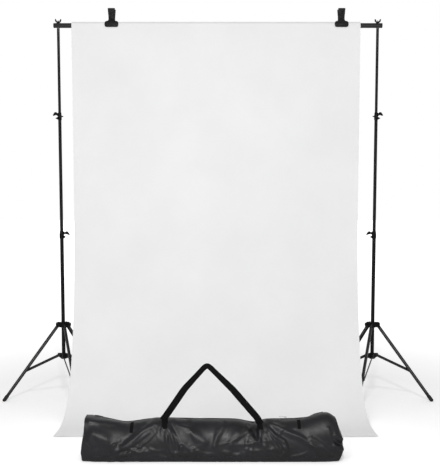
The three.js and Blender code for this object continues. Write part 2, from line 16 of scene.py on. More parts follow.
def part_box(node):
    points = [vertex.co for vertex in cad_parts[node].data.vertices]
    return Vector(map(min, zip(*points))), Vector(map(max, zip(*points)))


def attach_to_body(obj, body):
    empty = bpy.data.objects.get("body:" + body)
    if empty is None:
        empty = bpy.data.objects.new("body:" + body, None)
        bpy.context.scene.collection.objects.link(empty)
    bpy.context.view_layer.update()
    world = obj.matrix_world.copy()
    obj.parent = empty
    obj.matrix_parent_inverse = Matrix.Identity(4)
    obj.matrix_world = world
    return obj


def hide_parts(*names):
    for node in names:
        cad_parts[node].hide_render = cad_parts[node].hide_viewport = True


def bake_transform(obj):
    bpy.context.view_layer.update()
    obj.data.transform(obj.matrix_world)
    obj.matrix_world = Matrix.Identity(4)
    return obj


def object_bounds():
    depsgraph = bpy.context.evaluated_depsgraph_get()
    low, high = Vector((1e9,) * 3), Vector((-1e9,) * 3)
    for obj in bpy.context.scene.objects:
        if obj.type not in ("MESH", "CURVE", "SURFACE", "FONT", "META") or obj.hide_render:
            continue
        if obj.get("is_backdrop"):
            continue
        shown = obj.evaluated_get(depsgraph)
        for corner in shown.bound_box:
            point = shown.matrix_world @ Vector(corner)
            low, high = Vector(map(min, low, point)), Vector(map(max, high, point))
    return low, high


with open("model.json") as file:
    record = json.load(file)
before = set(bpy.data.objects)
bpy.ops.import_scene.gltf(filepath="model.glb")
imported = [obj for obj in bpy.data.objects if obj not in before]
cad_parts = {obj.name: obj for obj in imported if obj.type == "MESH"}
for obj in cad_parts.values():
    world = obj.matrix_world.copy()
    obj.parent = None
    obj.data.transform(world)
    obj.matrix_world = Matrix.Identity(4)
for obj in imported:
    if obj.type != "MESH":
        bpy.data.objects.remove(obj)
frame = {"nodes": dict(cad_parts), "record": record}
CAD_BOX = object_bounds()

SIDES = ("left", "right")
LEGS = ("outer", "rear", "front")


# ---------- places, read from the frame ----------

def middle(node):
    low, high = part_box(node)
    return (low + high) / 2


COLUMN_Y = middle("left_lower_tube").y
BAR_AXIS = middle("crossbar_left_middle")
SHEET_LOW, SHEET_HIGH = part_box("backdrop")
BAG_LOW, BAG_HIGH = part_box("bag_body")
MM = 0.001

BODY_OF = {
    node: body
    for body, members in frame["record"]["behaviour"]["bodies"].items()
    for node in members
}
SLOT_OF = {entry["node"]: entry["material_slot"] for entry in frame["record"]["subparts"]}


# ---------- materials ----------

NOISE_ROUGHNESS = 0.55
EDGE_POINTINESS = (0.53, 0.6)  # from a flat face to a full edge
WAVES_PER_SCALE = 20 / (2 * math.pi)  # how often a wave node repeats in each unit of scale
MIX_FIRST, MIX_SECOND, MIX_RESULT = 6, 7, 2  # a mix node's sockets for colours


class Finish:
    """A node material, wired step by step around one Principled shader."""

    def __init__(self, name, roughness, metallic=0.0):
        self.material = bpy.data.materials.new(name)
        self.material.use_nodes = True
        self.nodes = self.material.node_tree.nodes
        self.links = self.material.node_tree.links
        self.shader = self.nodes["Principled BSDF"]
        self.place = self.add("TexCoord", {}, "Object")
        self.set("Metallic", metallic)
        self.set("Roughness", roughness)
        self.normal = None

    def add(self, kind, inputs, result, **settings):
        """Adds a node, feeds its inputs and returns one of its outputs."""
        node = self.nodes.new("ShaderNode" + kind)
        for name, value in settings.items():
            setattr(node, name, value)
        for socket, value in inputs.items():
            self.feed(node.inputs[socket], value)
        return node.outputs[result]

    def feed(self, target, value):
        """Feeds a number, a colour or another node's output to a socket."""
        if isinstance(value, bpy.types.NodeSocket):
            self.links.new(value, target)
        elif isinstance(value, tuple) and target.type == "RGBA":
            target.default_value = (*value, 1.0)
        else:
            target.default_value = value

    def set(self, socket, value):
        self.feed(self.shader.inputs[socket], value)

    def noise(self, scale, detail=3.0):
        """Noise from 0 to 1, with so many features per metre. A scale of (x, y, z) stretches it."""
        if not isinstance(scale, tuple):
            scale = (scale, scale, scale)
        place = self.add("Mapping", {"Vector": self.place, "Scale": scale}, "Vector")
        inputs = {"Vector": place, "Scale": 1.0, "Detail": detail, "Roughness": NOISE_ROUGHNESS}
        return self.add("TexNoise", inputs, "Fac")

    def cells(self, scale):
        """Distance to the nearest cell centre, for grain and dimples."""
        return self.add("TexVoronoi", {"Vector": self.place, "Scale": scale}, "Distance")

    def threads(self, axis, per_metre):
        """Ribs from 0 to 1, running square to an axis."""
        inputs = {"Vector": self.place, "Scale": per_metre / WAVES_PER_SCALE, "Distortion": 0.0}
        return self.add("TexWave", inputs, "Fac", wave_type="BANDS", bands_direction=axis)

    def math(self, kind, first, second):
        return self.add("Math", {0: first, 1: second}, 0, operation=kind)

    def span(self, value, low, high, to_low, to_high):
        """Maps low..high to to_low..to_high, and holds it there outside."""
        limits = {"From Min": low, "From Max": high, "To Min": to_low, "To Max": to_high}
        return self.add("MapRange", {"Value": value, **limits}, "Result")

    def mix(self, share, first, second):
        """A colour between two colours."""
        inputs = {0: share, MIX_FIRST: first, MIX_SECOND: second}
        return self.add("Mix", inputs, MIX_RESULT, data_type="RGBA")

    def bump(self, height, distance, strength=1.0):
        """Adds a bump of so many metres to the normal."""
        inputs = {"Strength": strength, "Distance": distance, "Height": height}
        if self.normal:
            inputs["Normal"] = self.normal
        self.normal = self.add("Bump", inputs, "Normal")
        self.set("Normal", self.normal)

    def edges(self):
        """How far a spot is a convex edge, from 0 to 1, where paint wears first."""
        return self.span(self.add("NewGeometry", {}, "Pointiness"), *EDGE_POINTINESS, 0.0, 1.0)


def grey(value):
    return (value, value, value)


def painted_tube(name, along, gloss):
    """Satin black powder coat: orange peel, faint draw marks along the tube, and rubbed edges."""
    finish = Finish(name, 0.34)
    stretch = {"X": (6, 900, 900), "Z": (900, 900, 6), "": (140, 140, 140)}[along]
    marks = finish.noise(stretch, detail=2.0)
    worn = finish.math("MULTIPLY", finish.edges(), finish.noise(90.0))
    base = finish.mix(finish.noise(22.0), grey(0.001), grey(0.003))
    finish.set("Base Color", finish.mix(worn, base, grey(0.02)))
    finish.set("Roughness", finish.span(marks, 0.3, 0.7, 0.22, 0.32))
    finish.set("Specular IOR Level", gloss)
    finish.bump(finish.noise(1400.0, detail=1.0), 0.00004)
    finish.bump(marks, 0.00003)
    return finish.material


def painted_highlight_bead():
    """The raised bead of a leg, coloured a dull grey as a painted highlight: the light line down the
    middle of each leg.
    """
    finish = Finish("painted_highlight_bead", 0.4, metallic=0.5)
    # worn here only picks the brighter and duller patches of the painted highlight.
    worn = finish.span(finish.noise(60.0, detail=4.0), 0.35, 0.65, 0.0, 1.0)
    finish.set("Base Color", finish.mix(worn, grey(0.08), grey(0.2)))
    finish.set("Roughness", finish.span(worn, 0.0, 1.0, 0.55, 0.35))
    finish.bump(finish.noise(900.0, detail=1.0), 0.00003)
    return finish.material


def moulded_plastic(name, dark, light, mottle, grain=0.00006):
    """Moulded plastic with a fine spark-eroded grain, some mottling and rubbed edges."""
    finish = Finish(name, 0.5)
    patches = finish.span(finish.noise(mottle, detail=5.0), 0.38, 0.66, 0.0, 1.0)
    base = finish.mix(patches, grey(dark), grey(light))
    worn = finish.math("MULTIPLY", finish.edges(), finish.noise(260.0))
    finish.set("Base Color", finish.mix(worn, base, grey(0.03)))
    finish.set("Roughness", finish.span(finish.noise(55.0), 0.3, 0.7, 0.34, 0.55))
    finish.set("Specular IOR Level", 0.12)
    finish.bump(finish.cells(1900.0), grain)
    return finish.material


def plated_steel():
    """Plated steel with a faint tarnish and fine drawing marks."""
    finish = Finish("plated_steel", 0.3, metallic=1.0)
    tarnish = finish.noise(60.0, detail=4.0)
    finish.set("Base Color", finish.mix(tarnish, grey(0.42), (0.68, 0.69, 0.72)))
    finish.set("Roughness", finish.span(tarnish, 0.3, 0.7, 0.42, 0.22))
    finish.bump(finish.noise((300, 2600, 2600), detail=1.0), 0.00002)
    return finish.material


def foot_rubber():
    """Black rubber with dust in its grain."""
    finish = Finish("foot_rubber", 0.85)
    dust = finish.span(finish.noise(160.0, detail=5.0), 0.5, 0.75, 0.0, 1.0)
    finish.set("Base Color", finish.mix(dust, grey(0.008), grey(0.035)))
    finish.set("Roughness", finish.span(dust, 0.0, 1.0, 0.72, 0.92))
    finish.bump(finish.cells(1200.0), 0.00008)
    return finish.material


def white_cloth():
    """Heavy white non-woven cloth: fine crossed threads, loose fibres and a faint mottle."""
    finish = Finish("white_cloth", 0.95)
    clouds = finish.span(finish.noise(2.6, detail=5.0), 0.35, 0.68, 0.0, 1.0)
    flecks = finish.span(finish.noise((900, 900, 220), detail=3.0), 0.3, 0.7, 0.0, 1.0)
    soft = finish.mix(clouds, grey(0.83), grey(0.87))
    finish.set("Base Color", finish.mix(finish.math("MULTIPLY", flecks, 0.22), soft, grey(0.74)))
    finish.set("Sheen Weight", 0.15)
    finish.set("Specular IOR Level", 0.15)
    weave = finish.math("MULTIPLY", finish.threads("X", 900.0), finish.threads("Z", 900.0))
    finish.bump(weave, 0.00008, strength=0.6)
    finish.bump(flecks, 0.00012, strength=0.5)
    return finish.material


def bag_nylon():
    """Coated nylon: a tight plain weave, a soft blue-grey sheen and slight creasing."""
    finish = Finish("bag_nylon", 0.36)
    clouds = finish.span(finish.noise(9.0, detail=5.0), 0.3, 0.7, 0.0, 1.0)
    base = finish.mix(clouds, (0.004, 0.004, 0.0054), (0.009, 0.009, 0.0115))
    weave = finish.math("MULTIPLY", finish.threads("X", 1100.0), finish.threads("Z", 1100.0))
    finish.set("Base Color", finish.mix(finish.math("MULTIPLY", weave, 0.35), base, grey(0.016)))
    finish.set("Roughness", finish.span(finish.noise(34.0, detail=4.0), 0.3, 0.7, 0.36, 0.46))
    finish.set("Specular IOR Level", 0.34)
    finish.bump(weave, 0.00012, strength=0.5)
    finish.bump(finish.noise((26, 26, 18), detail=4.0), 0.005, strength=0.2)
    return finish.material


def bag_webbing():
    """Woven strap: ribs across, a herringbone of finer ribs and dull fibres."""
    finish = Finish("bag_webbing", 0.85)
    ribs = finish.threads("DIAGONAL", 620.0)
    fuzz = finish.noise(800.0, detail=3.0)
    finish.set("Base Color", finish.mix(ribs, grey(0.002), grey(0.006)))
    finish.set("Specular IOR Level", 0.1)
    finish.bump(ribs, 0.0003, strength=0.8)
    finish.bump(fuzz, 0.0002, strength=0.4)
    return finish.material


def sewing_thread():
    """Twisted thread, a little lighter than the strap it holds."""
    finish = Finish("sewing_thread", 0.7)
    twist = finish.threads("DIAGONAL", 1500.0)
    finish.set("Base Color", finish.mix(twist, grey(0.012), grey(0.035)))
    finish.bump(twist, 0.0001, strength=0.6)
    return finish.material


TUBE_PAINT = painted_tube("tube_paint", "Z", 0.13)
BAR_PAINT = painted_tube("bar_paint", "X", 0.6)
LEG_PAINT = painted_tube("leg_paint", "", 0.5)
# The grey of the leg beads is a painted highlight along each leg.
BEAD_HIGHLIGHT_PAINT = painted_highlight_bead()
PLASTIC = moulded_plastic("lock_plastic", 0.0015, 0.004, 40.0)
CLIP_PLASTIC = moulded_plastic("clip_plastic", 0.001, 0.03, 150.0, grain=0.0001)
STEEL = plated_steel()
RUBBER = foot_rubber()
CLOTH = white_cloth()
NYLON = bag_nylon()
WEBBING = bag_webbing()
THREAD = sewing_thread()


# ---------- mesh helpers ----------

def linked(name, data):
    """A new object in the scene, holding a mesh, a lamp or a camera."""
    piece = bpy.data.objects.new(name, data)
    bpy.context.scene.collection.objects.link(piece)
    return piece


def dress(piece, material):
    """Gives a piece one material in place of those it has."""
    piece.data.materials.clear()
    piece.data.materials.append(material)


def attach(piece, body, slot, replaces=()):
    """Lets a piece ride on a body, and hides the CAD nodes that it stands for. Its slot is not used.
    """
    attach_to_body(piece, body)
    if replaces:
        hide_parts(*replaces)


def add_piece(name, mesh, material, body, slot, replaces=()):
    """A finished mesh, as a piece that rides on a body."""
    piece = linked(name, mesh)
    dress(piece, material)
    attach(piece, body, slot, replaces)


def mesh_from(shape, name):
    """Ends a bmesh as a named mesh."""
    mesh = bpy.data.meshes.new(name)
    shape.to_mesh(mesh)
    shape.free()
    return mesh


def vertex_places(mesh):
    return np.array([v.co for v in mesh.vertices])


def move_vertices(mesh, places):
    mesh.vertices.foreach_set("co", places.astype(np.float32).ravel())
    mesh.update()


def distances_along(line):
    """How far each point of a line of points is from its start."""
    return np.concatenate([[0], np.cumsum(np.linalg.norm(np.diff(line, axis=0), axis=1))])


def facing_out(mesh):
    """Turns every face of a closed mesh outwards."""
    shape = bmesh.new()
    shape.from_mesh(mesh)
    bmesh.ops.recalc_face_normals(shape, faces=shape.faces)
    shape.to_mesh(mesh)
    shape.free()


def smooth_by_angle(mesh, degrees):
    mesh.shade_smooth()
    mesh.set_sharp_from_angle(angle=math.radians(degrees))


def apply_modifiers(piece):
    """Replaces a piece's mesh by what its modifiers make of it."""
    graph = bpy.context.evaluated_depsgraph_get()
    mesh = bpy.data.meshes.new_from_object(piece.evaluated_get(graph), depsgraph=graph)
    piece.modifiers.clear()
    piece.data = mesh


MERGE_DISTANCE = 1e-6
FLAT_ANGLE = math.radians(0.6)  # the most between facets that are one face
BEVEL_ANGLE = 28  # degrees from which an edge is rounded
BEVEL_SEGMENTS = 2
SHARP_ANGLE = 42  # degrees from which an edge still looks sharp


def refined(node, material, bevel):
    """The CAD node's own shape with its facets merged and its edges rounded."""
    mesh = frame["nodes"][node].data.copy()
    shape = bmesh.new()
    shape.from_mesh(mesh)
    bmesh.ops.remove_doubles(shape, verts=shape.verts, dist=MERGE_DISTANCE)
    bmesh.ops.dissolve_limit(shape, angle_limit=FLAT_ANGLE, verts=shape.verts, edges=shape.edges)
    shape.to_mesh(mesh)
    shape.free()
    piece = linked(node + "_finish", mesh)
    rounding = piece.modifiers.new("rounding", "BEVEL")
    rounding.width = bevel
    rounding.segments = BEVEL_SEGMENTS
    rounding.limit_method = "ANGLE"
    rounding.angle_limit = math.radians(BEVEL_ANGLE)
    rounding.use_clamp_overlap = True
    apply_modifiers(piece)
    smooth_by_angle(piece.data, SHARP_ANGLE)
    dress(piece, material)
    attach(piece, BODY_OF[node], SLOT_OF[node], [node])


TURNED_SIDES = 64


def turned_mesh(name, profile, matrix):
    """A closed profile of (radius, height) points turned about Z, then placed by a matrix."""
    shape = bmesh.new()
    rings = []
    for i in range(TURNED_SIDES):
        angle = 2 * math.pi * i / TURNED_SIDES
        cosine, sine = math.cos(angle), math.sin(angle)
        rings.append([shape.verts.new((r * cosine, r * sine, z)) for r, z in profile])
    count = len(profile)
    for i, ring in enumerate(rings):
        following = rings[(i + 1) % TURNED_SIDES]
        for j in range(count):
            k = (j + 1) % count
            shape.faces.new((ring[j], following[j], following[k], ring[k]))
    bmesh.ops.transform(shape, matrix=matrix, verts=shape.verts)
    bmesh.ops.recalc_face_normals(shape, faces=shape.faces)
    mesh = mesh_from(shape, name)
    smooth_by_angle(mesh, 35)
    return mesh


# ---------- tubes ----------

TUBE_WALL = 1.1 * MM
RIM = 0.35 * MM


def tube_profile(radius, low, high):
    """A tube's wall with small chamfers at both rims."""
    inner = radius - TUBE_WALL
    return [
        (radius - RIM, low),
        (radius, low + RIM),
        (radius, high - RIM),
        (radius - RIM, high),
        (inner + RIM, high),
        (inner, high - RIM),
        (inner, low + RIM),
        (inner + RIM, low),
    ]


def column_tube(node):
    """One hollow tube of a column, as wide and as long as its CAD node."""
    low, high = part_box(node)
    centre = (low + high) / 2
    radius = (high.x - low.x) / 2
    place = Matrix.Translation((centre.x, centre.y, 0))
    mesh = turned_mesh(node, tube_profile(radius, low.z, high.z), place)
    add_piece(node + "_finish", mesh, TUBE_PAINT, BODY_OF[node], SLOT_OF[node], [node])


for side in SIDES:
    for level in ("lower", "middle", "upper"):
        column_tube(f"{side}_{level}_tube")


# ---------- small hardware, kept in its CAD shape with rounded edges ----------

# For each kind of piece: its material, and the radius of its edges in mm.
STAND_PIECES = {
    "stud": (STEEL, 0.3),
    "wing_nut": (PLASTIC, 0.9),
    "lower_lock": (PLASTIC, 0.6),
    "upper_lock": (PLASTIC, 0.6),
    "lower_lock_lever": (PLASTIC, 1.2),
    "upper_lock_lever": (PLASTIC, 1.2),
    "leg_hub": (PLASTIC, 0.7),
    "brace_hub": (PLASTIC, 0.7),
    "hub_knob": (PLASTIC, 1.2),
    "clip_front": (CLIP_PLASTIC, 1.2),
    "clip_rear": (CLIP_PLASTIC, 1.2),
    "clip_pin": (STEEL, 0.2),
    "clip_spring": (STEEL, 0.1),
}
LEG_PIECES = {
    "leg": (LEG_PAINT, 0.45),
    "brace": (LEG_PAINT, 0.6),
    "foot_cap": (RUBBER, 0.9),
}
for side in SIDES:
    for kind, (material, radius) in STAND_PIECES.items():
        refined(f"{side}_{kind}", material, radius * MM)
    for leg in LEGS:
        for kind, (material, radius) in LEG_PIECES.items():
            refined(f"{side}_{leg}_{kind}", material, radius * MM)
    refined(f"crossbar_{side}_cap", PLASTIC, 0.4 * MM)
for section in ("left_end", "left_middle", "right_middle", "right_end"):
    refined(f"crossbar_{section}", BAR_PAINT, 0.3 * MM)


# ---------- swept strips and sheets ----------

CORNER_STEPS = 3


def box_section(width, thickness):
    """A flat strap's cross-section: (u, v) points of a rectangle with round edges."""
    radius = thickness * 0.45
    corners = (
        (width / 2 - radius, thickness / 2 - radius, 0),
        (-width / 2 + radius, thickness / 2 - radius, 90),
        (-width / 2 + radius, -thickness / 2 + radius, 180),
        (width / 2 - radius, -thickness / 2 + radius, 270),
    )
    points = []
    for u, v, start in corners:
        for i in range(CORNER_STEPS + 1):
            angle = math.radians(start + 90 * i / CORNER_STEPS)
            points.append((u + radius * math.cos(angle), v + radius * math.sin(angle)))
    return points


def swept_mesh(name, stations):
    """Joins cross-sections into one closed body. A station is (centre, u axis, v axis, section)."""
    shape = bmesh.new()
    rings = []
    for centre, u_axis, v_axis, section in stations:
        ring = [shape.verts.new(centre + u_axis * u + v_axis * v) for u, v in section]
        rings.append(ring)
    count = len(rings[0])
    for first, second in zip(rings, rings[1:]):
        for j in range(count):
            k = (j + 1) % count
            shape.faces.new((first[j], first[k], second[k], second[j]))
    shape.faces.new(list(reversed(rings[0])))
    shape.faces.new(rings[-1])
    bmesh.ops.recalc_face_normals(shape, faces=shape.faces)
    mesh = mesh_from(shape, name)
    smooth_by_angle(mesh, 50)
    return mesh


def thick_grid(name, points, normals, thickness):
    """A closed skin around a grid of points.

    points and normals are [row][column][3], and thickness is [row][column].
    """
    half = normals * (thickness[..., None] / 2)
    layers = np.concatenate([(points + half).reshape(-1, 3), (points - half).reshape(-1, 3)])
    rows, columns = points.shape[:2]
    shift = rows * columns

    def at(row, column):
        return row * columns + column

    faces = []
    for r in range(rows - 1):
        for c in range(columns - 1):
            quad = (at(r, c), at(r + 1, c), at(r + 1, c + 1), at(r, c + 1))
            faces.append(quad)
            faces.append(tuple(v + shift for v in reversed(quad)))
    border = [at(0, c) for c in range(columns)]
    border += [at(r, columns - 1) for r in range(1, rows)]
    border += [at(rows - 1, c) for c in range(columns - 2, -1, -1)]
    border += [at(r, 0) for r in range(rows - 2, 0, -1)]
    for a, b in zip(border, border[1:] + border[:1]):
        faces.append((a, b, b + shift, a + shift))
    mesh = bpy.data.meshes.new(name)
    mesh.from_pydata(layers.tolist(), [], faces)
    mesh.update()
    facing_out(mesh)
    smooth_by_angle(mesh, 60)
    return mesh


def grid_normals(points):
    """The unit normal at each point of a [row][column][3] grid."""
    along = np.gradient(points, axis=0)
    across = np.gradient(points, axis=1)
    normals = np.cross(along, across)
    return normals / np.linalg.norm(normals, axis=2, keepdims=True)


def smoothstep(value, low, high):
    """0 below low and 1 above high, with a smooth rise between."""
    share = np.clip((value - low) / (high - low), 0, 1)
    return share * share * (3 - 2 * share)


# ---------- the raised bead along both flat sides of each leg, coloured as a painted highlight ---

BEAD_WIDTH = 2.8 * MM
BEAD_THICKNESS = 0.7 * MM
BEAD_ENDS = (0.03, 0.05)  # how far it stops short of the leg's two ends


def leg_beads(side, leg):
    """Two strips in a painted highlight that run down the leg, found from the leg's own longest
    direction.
    """
    node = f"{side}_{leg}_leg"
    points = vertex_places(frame["nodes"][node].data)
    centre = (points.min(axis=0) + points.max(axis=0)) / 2
    longest = np.linalg.svd(points - points.mean(axis=0), full_matrices=False)[2][0]
    along = Vector(longest) * (1 if longest[2] < 0 else -1)
    side_way = along.cross(Vector((0, 0, 1))).normalized()
    reach = (points - centre) @ np.array(along)
    half = float(np.abs((points - centre) @ np.array(side_way)).max())
    for label, sign in (("near", 1), ("far", -1)):
        out = side_way * sign
        section = box_section(BEAD_WIDTH, BEAD_THICKNESS)
        stations = []
        for place in np.linspace(reach.min() + BEAD_ENDS[0], reach.max() - BEAD_ENDS[1], 4):
            spot = Vector(centre) + along * float(place) + out * half
            stations.append((spot, along.cross(out), out, section))
        name = f"{node}_bead_{label}"
        # Each strip is dressed in the painted highlight.
        add_piece(name, swept_mesh(name, stations), BEAD_HIGHLIGHT_PAINT, BODY_OF[node], SLOT_OF[node])


for side in SIDES:
    for leg in LEGS:
        leg_beads(side, leg)


# ---------- backdrop ----------

SHEET_THICKNESS = 0.8 * MM
HEM_WIDTH = 22 * MM
HEM_EXTRA = 0.9 * MM
SHEET_OFFSET = 20.8 * MM  # from the bar's axis to the middle of the cloth, which hangs loose on it
SHEET_GROUND = 1.8 * MM
SHEET_INSET = 1.0 * MM  # from the CAD sheet's side edges
REAR_HEM_SHARE = 0.953  # of the sheet's height
SWEEP_TOP = 1.4
# The control points of the sweep's curve, as (y from the column line, z).
SWEEP_CONTROLS = (
    (-SHEET_OFFSET, SWEEP_TOP),
    (-SHEET_OFFSET, 0.52),
    (-0.23, SHEET_GROUND),
    (-0.62, SHEET_GROUND),
)
SHEET_SPLIT = 1.52  # where the lower and the upper half of the sheet meet
SHEET_STILL = 0.45  # listed as where the lower half starts
SHEET_STRETCH_TOP = 2.30  # listed as where the upper half ends
SHEET_STEP = 0.016
SHEET_COLUMNS = 118
EDGE_REACH, EDGE_LIFT = 0.05, 1.5 * MM  # the front edge lifts off the floor over this length
CORNER_REACH, CORNER_LIFT = 0.16, 4 * MM  # and so much more near its two corners


def sheet_path():
    """The sheet's side view, as (y, z): up the rear flap, over the bar, down and out on the floor."""
    rear_hem = SHEET_LOW.z + (SHEET_HIGH.z - SHEET_LOW.z) * REAR_HEM_SHARE
    line = [(SHEET_OFFSET, z) for z in np.linspace(rear_hem, BAR_AXIS.z, 8)[:-1]]
    for angle in np.linspace(0, math.pi, 17):
        line.append((SHEET_OFFSET * math.cos(angle), BAR_AXIS.z + SHEET_OFFSET * math.sin(angle)))
    levels = {round(z, 6) for z in np.arange(SWEEP_TOP, BAR_AXIS.z, SHEET_STEP)[1:-1]}
    line += [(-SHEET_OFFSET, z) for z in sorted(levels | {SHEET_SPLIT}, reverse=True)]
    for t in np.linspace(0, 1, 90):
        weights = ((1 - t) ** 3, 3 * t * (1 - t) ** 2, 3 * t * t * (1 - t), t ** 3)
        line.append(tuple(sum(w * c[i] for w, c in zip(weights, SWEEP_CONTROLS)) for i in (0, 1)))
    front = SHEET_LOW.y - COLUMN_Y
    line += [(y, SHEET_GROUND) for y in np.arange(line[-1][0] - SHEET_STEP, front, -SHEET_STEP)]
    line.append((front, SHEET_GROUND))
    return np.array(line)


FOLD_DEPTH = 2.2 * MM
PUCKER_DEPTH = 0.6 * MM


def ripples(x, z, y):
    """How far the cloth stands off its plain shape: slow upright folds that die out at the bar."""
    hang = smoothstep(BAR_AXIS.z - z, 0.02, 0.7) * smoothstep(z, 0.1, 0.9)
    slow = np.sin(5.2 * x + 0.7)
    slow += 0.6 * np.sin(9.7 * x - 1.1 + 0.5 * z)
    slow += 0.35 * np.sin(17.0 * x + 1.3 * z)
    floor = smoothstep(-y, 0.45, 0.62)
    puckers = np.sin(7.0 * x + 9.0 * y) * np.sin(3.1 * x - 14.0 * y + 0.6)
    return FOLD_DEPTH * hang * slow + PUCKER_DEPTH * floor * (1 + puckers)


def sheet_columns():
    """The x of each upright line of the sheet's grid, closer together at the side hems."""
    xs = np.linspace(SHEET_LOW.x + SHEET_INSET, SHEET_HIGH.x - SHEET_INSET, SHEET_COLUMNS)
    hem_lines = [HEM_WIDTH * share for share in (0.25, 0.8, 0.95, 1.05)]
    left = {xs[0] + line for line in hem_lines}
    right = {xs[-1] - line for line in hem_lines}
    return np.array(sorted(set(xs) | left | right))


def backdrop():
    """The sheet, split at one height into an upper and a lower half, each a closed skin of cloth."""
    path = sheet_path()
    xs = sheet_columns()
    y, x = np.meshgrid(path[:, 0], xs, indexing="ij")
    z, _ = np.meshgrid(path[:, 1], xs, indexing="ij")
    points = np.stack([x, y + COLUMN_Y, z], axis=2)
    normals = -grid_normals(points)
    points = points + normals * ripples(x, z, y)[..., None]
    edge = np.minimum(x - xs[0], xs[-1] - x)
    front = y - path[-1, 0]
    curl = smoothstep(EDGE_REACH - front, 0.0, EDGE_REACH)
    corner = smoothstep(CORNER_REACH - edge, 0.0, CORNER_REACH)
    points[..., 2] += curl * (EDGE_LIFT + CORNER_LIFT * corner) * (z < 0.01)
    hem_distance = np.minimum(edge, np.where(z < 0.05, front, np.inf))
    hem = 1 - smoothstep(hem_distance, HEM_WIDTH * 0.94, HEM_WIDTH * 1.04)
    thickness = SHEET_THICKNESS + HEM_EXTRA * hem
    split = int(np.argmin(np.abs(path[:, 1] - SHEET_SPLIT) + (path[:, 0] > 0)))
    normals = -grid_normals(points)
    upper, lower = slice(0, split + 1), slice(split, len(path))
    halves = (
        ("backdrop_upper", upper, "left_middle", "left_upper", SHEET_SPLIT, SHEET_STRETCH_TOP),
        ("backdrop_lower", lower, "root", "left_middle", SHEET_STILL, SHEET_SPLIT),
    )
    for name, rows, below, above, start, end in halves:
        half = linked(name, thick_grid(name, points[rows], normals[rows], thickness[rows]))
        dress(half, CLOTH)
        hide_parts("backdrop")
        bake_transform(half)


backdrop()


# ---------- carry bag ----------

BAG_LENGTH = BAG_HIGH.x - BAG_LOW.x
BAG_DEPTH = BAG_HIGH.y - BAG_LOW.y
BAG_HEIGHT = BAG_HIGH.z
BAG_MIDDLE_Y = (BAG_LOW.y + BAG_HIGH.y) / 2
HANDLE_LOW, HANDLE_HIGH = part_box("bag_handle")
HANDLE_Y = (HANDLE_LOW.y + HANDLE_HIGH.y) / 2
STRAP_WIDTH = 30 * MM
STRAP_THICKNESS = 2.2 * MM
HANDLE_FEET = (HANDLE_LOW.x + 0.6 * STRAP_WIDTH, HANDLE_HIGH.x - 0.6 * STRAP_WIDTH)

# The top line, as (share of the length, share of the height). It stands up at both ends and under
# the handle's feet, and sags between them.
BAG_TOP = (
    (0.0, 0.915), (0.025, 0.915), (0.072, 0.86), (0.156, 0.77), (0.217, 0.81), (0.277, 0.87),
    (0.32, 0.895), (0.35, 0.855), (0.455, 0.845), (0.602, 0.835), (0.644, 0.79), (0.674, 0.755),
    (0.7, 0.81), (0.728, 0.835), (0.802, 0.84), (0.865, 0.865), (0.912, 0.93), (0.945, 0.975),
    (0.97, 0.985), (0.985, 0.95), (1.0, 0.87),
)
# How far each end stands back from the bag's full length: (share of the height, metres).
LEFT_END = (
    (0, 0.026), (0.05, 0.010), (0.2, 0.005), (0.4, 0.012), (0.6, 0.019), (0.8, 0.021), (1.0, 0.020),
)
RIGHT_END = (
    (0, 0.036), (0.06, 0.022), (0.2, 0.008), (0.36, 0.005), (0.5, 0.010), (0.7, 0.024), (1.0, 0.040),
)
# How round the upper half of the section is: (share of the length, power; 1 is a wedge, 0 a box).
BAG_ROUND = ((0, 0.5), (0.06, 0.66), (0.15, 0.86), (0.9, 0.86), (1.0, 0.7))

# The deep folds of the front. Each is (height in mm, half width in mm, its line), and the line is
# a list of (share of the length, share of the height), from where the cloth is pulled.
FRONT_FOLDS = (
    (9, 12, ((0.300, 0.90), (0.240, 0.68), (0.150, 0.295), (0.110, 0.12))),
    (8, 10, ((0.305, 0.84), (0.250, 0.60), (0.172, 0.325))),
    (7, 18, ((0.335, 0.90), (0.380, 0.76), (0.430, 0.62), (0.468, 0.45), (0.447, 0.25))),
    (5, 12, ((0.325, 0.85), (0.350, 0.60), (0.355, 0.35))),
    (8, 9, ((0.392, 0.42), (0.383, 0.33), (0.374, 0.20))),
    (7, 9, ((0.430, 0.36), (0.428, 0.28), (0.424, 0.18))),
    (12, 24, ((0.034, 0.36), (0.052, 0.60), (0.090, 0.52), (0.128, 0.42))),
    (8, 15, ((0.128, 0.44), (0.135, 0.30), (0.120, 0.18))),
    (5, 9, ((0.020, 0.87), (0.090, 0.83), (0.170, 0.77))),
    (7, 10, ((0.095, 0.02), (0.130, 0.14), (0.171, 0.21), (0.274, 0.27))),
    (5, 9, ((0.150, 0.02), (0.180, 0.12), (0.250, 0.17))),
    (5, 9, ((0.296, 0.19), (0.339, 0.10))),
    (-9, 8, ((0.640, 0.80), (0.655, 0.66), (0.672, 0.52))),
    (-8, 6, ((0.652, 0.80), (0.664, 0.68), (0.680, 0.56))),
    (9, 10, ((0.688, 0.86), (0.682, 0.65), (0.676, 0.40))),
    (9, 12, ((0.700, 0.86), (0.770, 0.68), (0.837, 0.54), (0.895, 0.34), (0.935, 0.10))),
    (7, 10, ((0.698, 0.80), (0.735, 0.60), (0.772, 0.46), (0.786, 0.20))),
    (5, 9, ((0.705, 0.66), (0.735, 0.45), (0.765, 0.20))),
    (7, 12, ((0.860, 0.56), (0.915, 0.40), (0.955, 0.16))),
    (5, 10, ((0.550, 0.80), (0.520, 0.55), (0.500, 0.25))),
    (4, 14, ((0.600, 0.70), (0.570, 0.45), (0.560, 0.22))),
    (8, 9, ((0.960, 0.62), (0.985, 0.52), (1.000, 0.50))),
    (-8, 8, ((0.955, 0.50), (0.980, 0.42), (1.000, 0.40))),
    (8, 9, ((0.955, 0.40), (0.980, 0.32), (1.000, 0.28))),
)


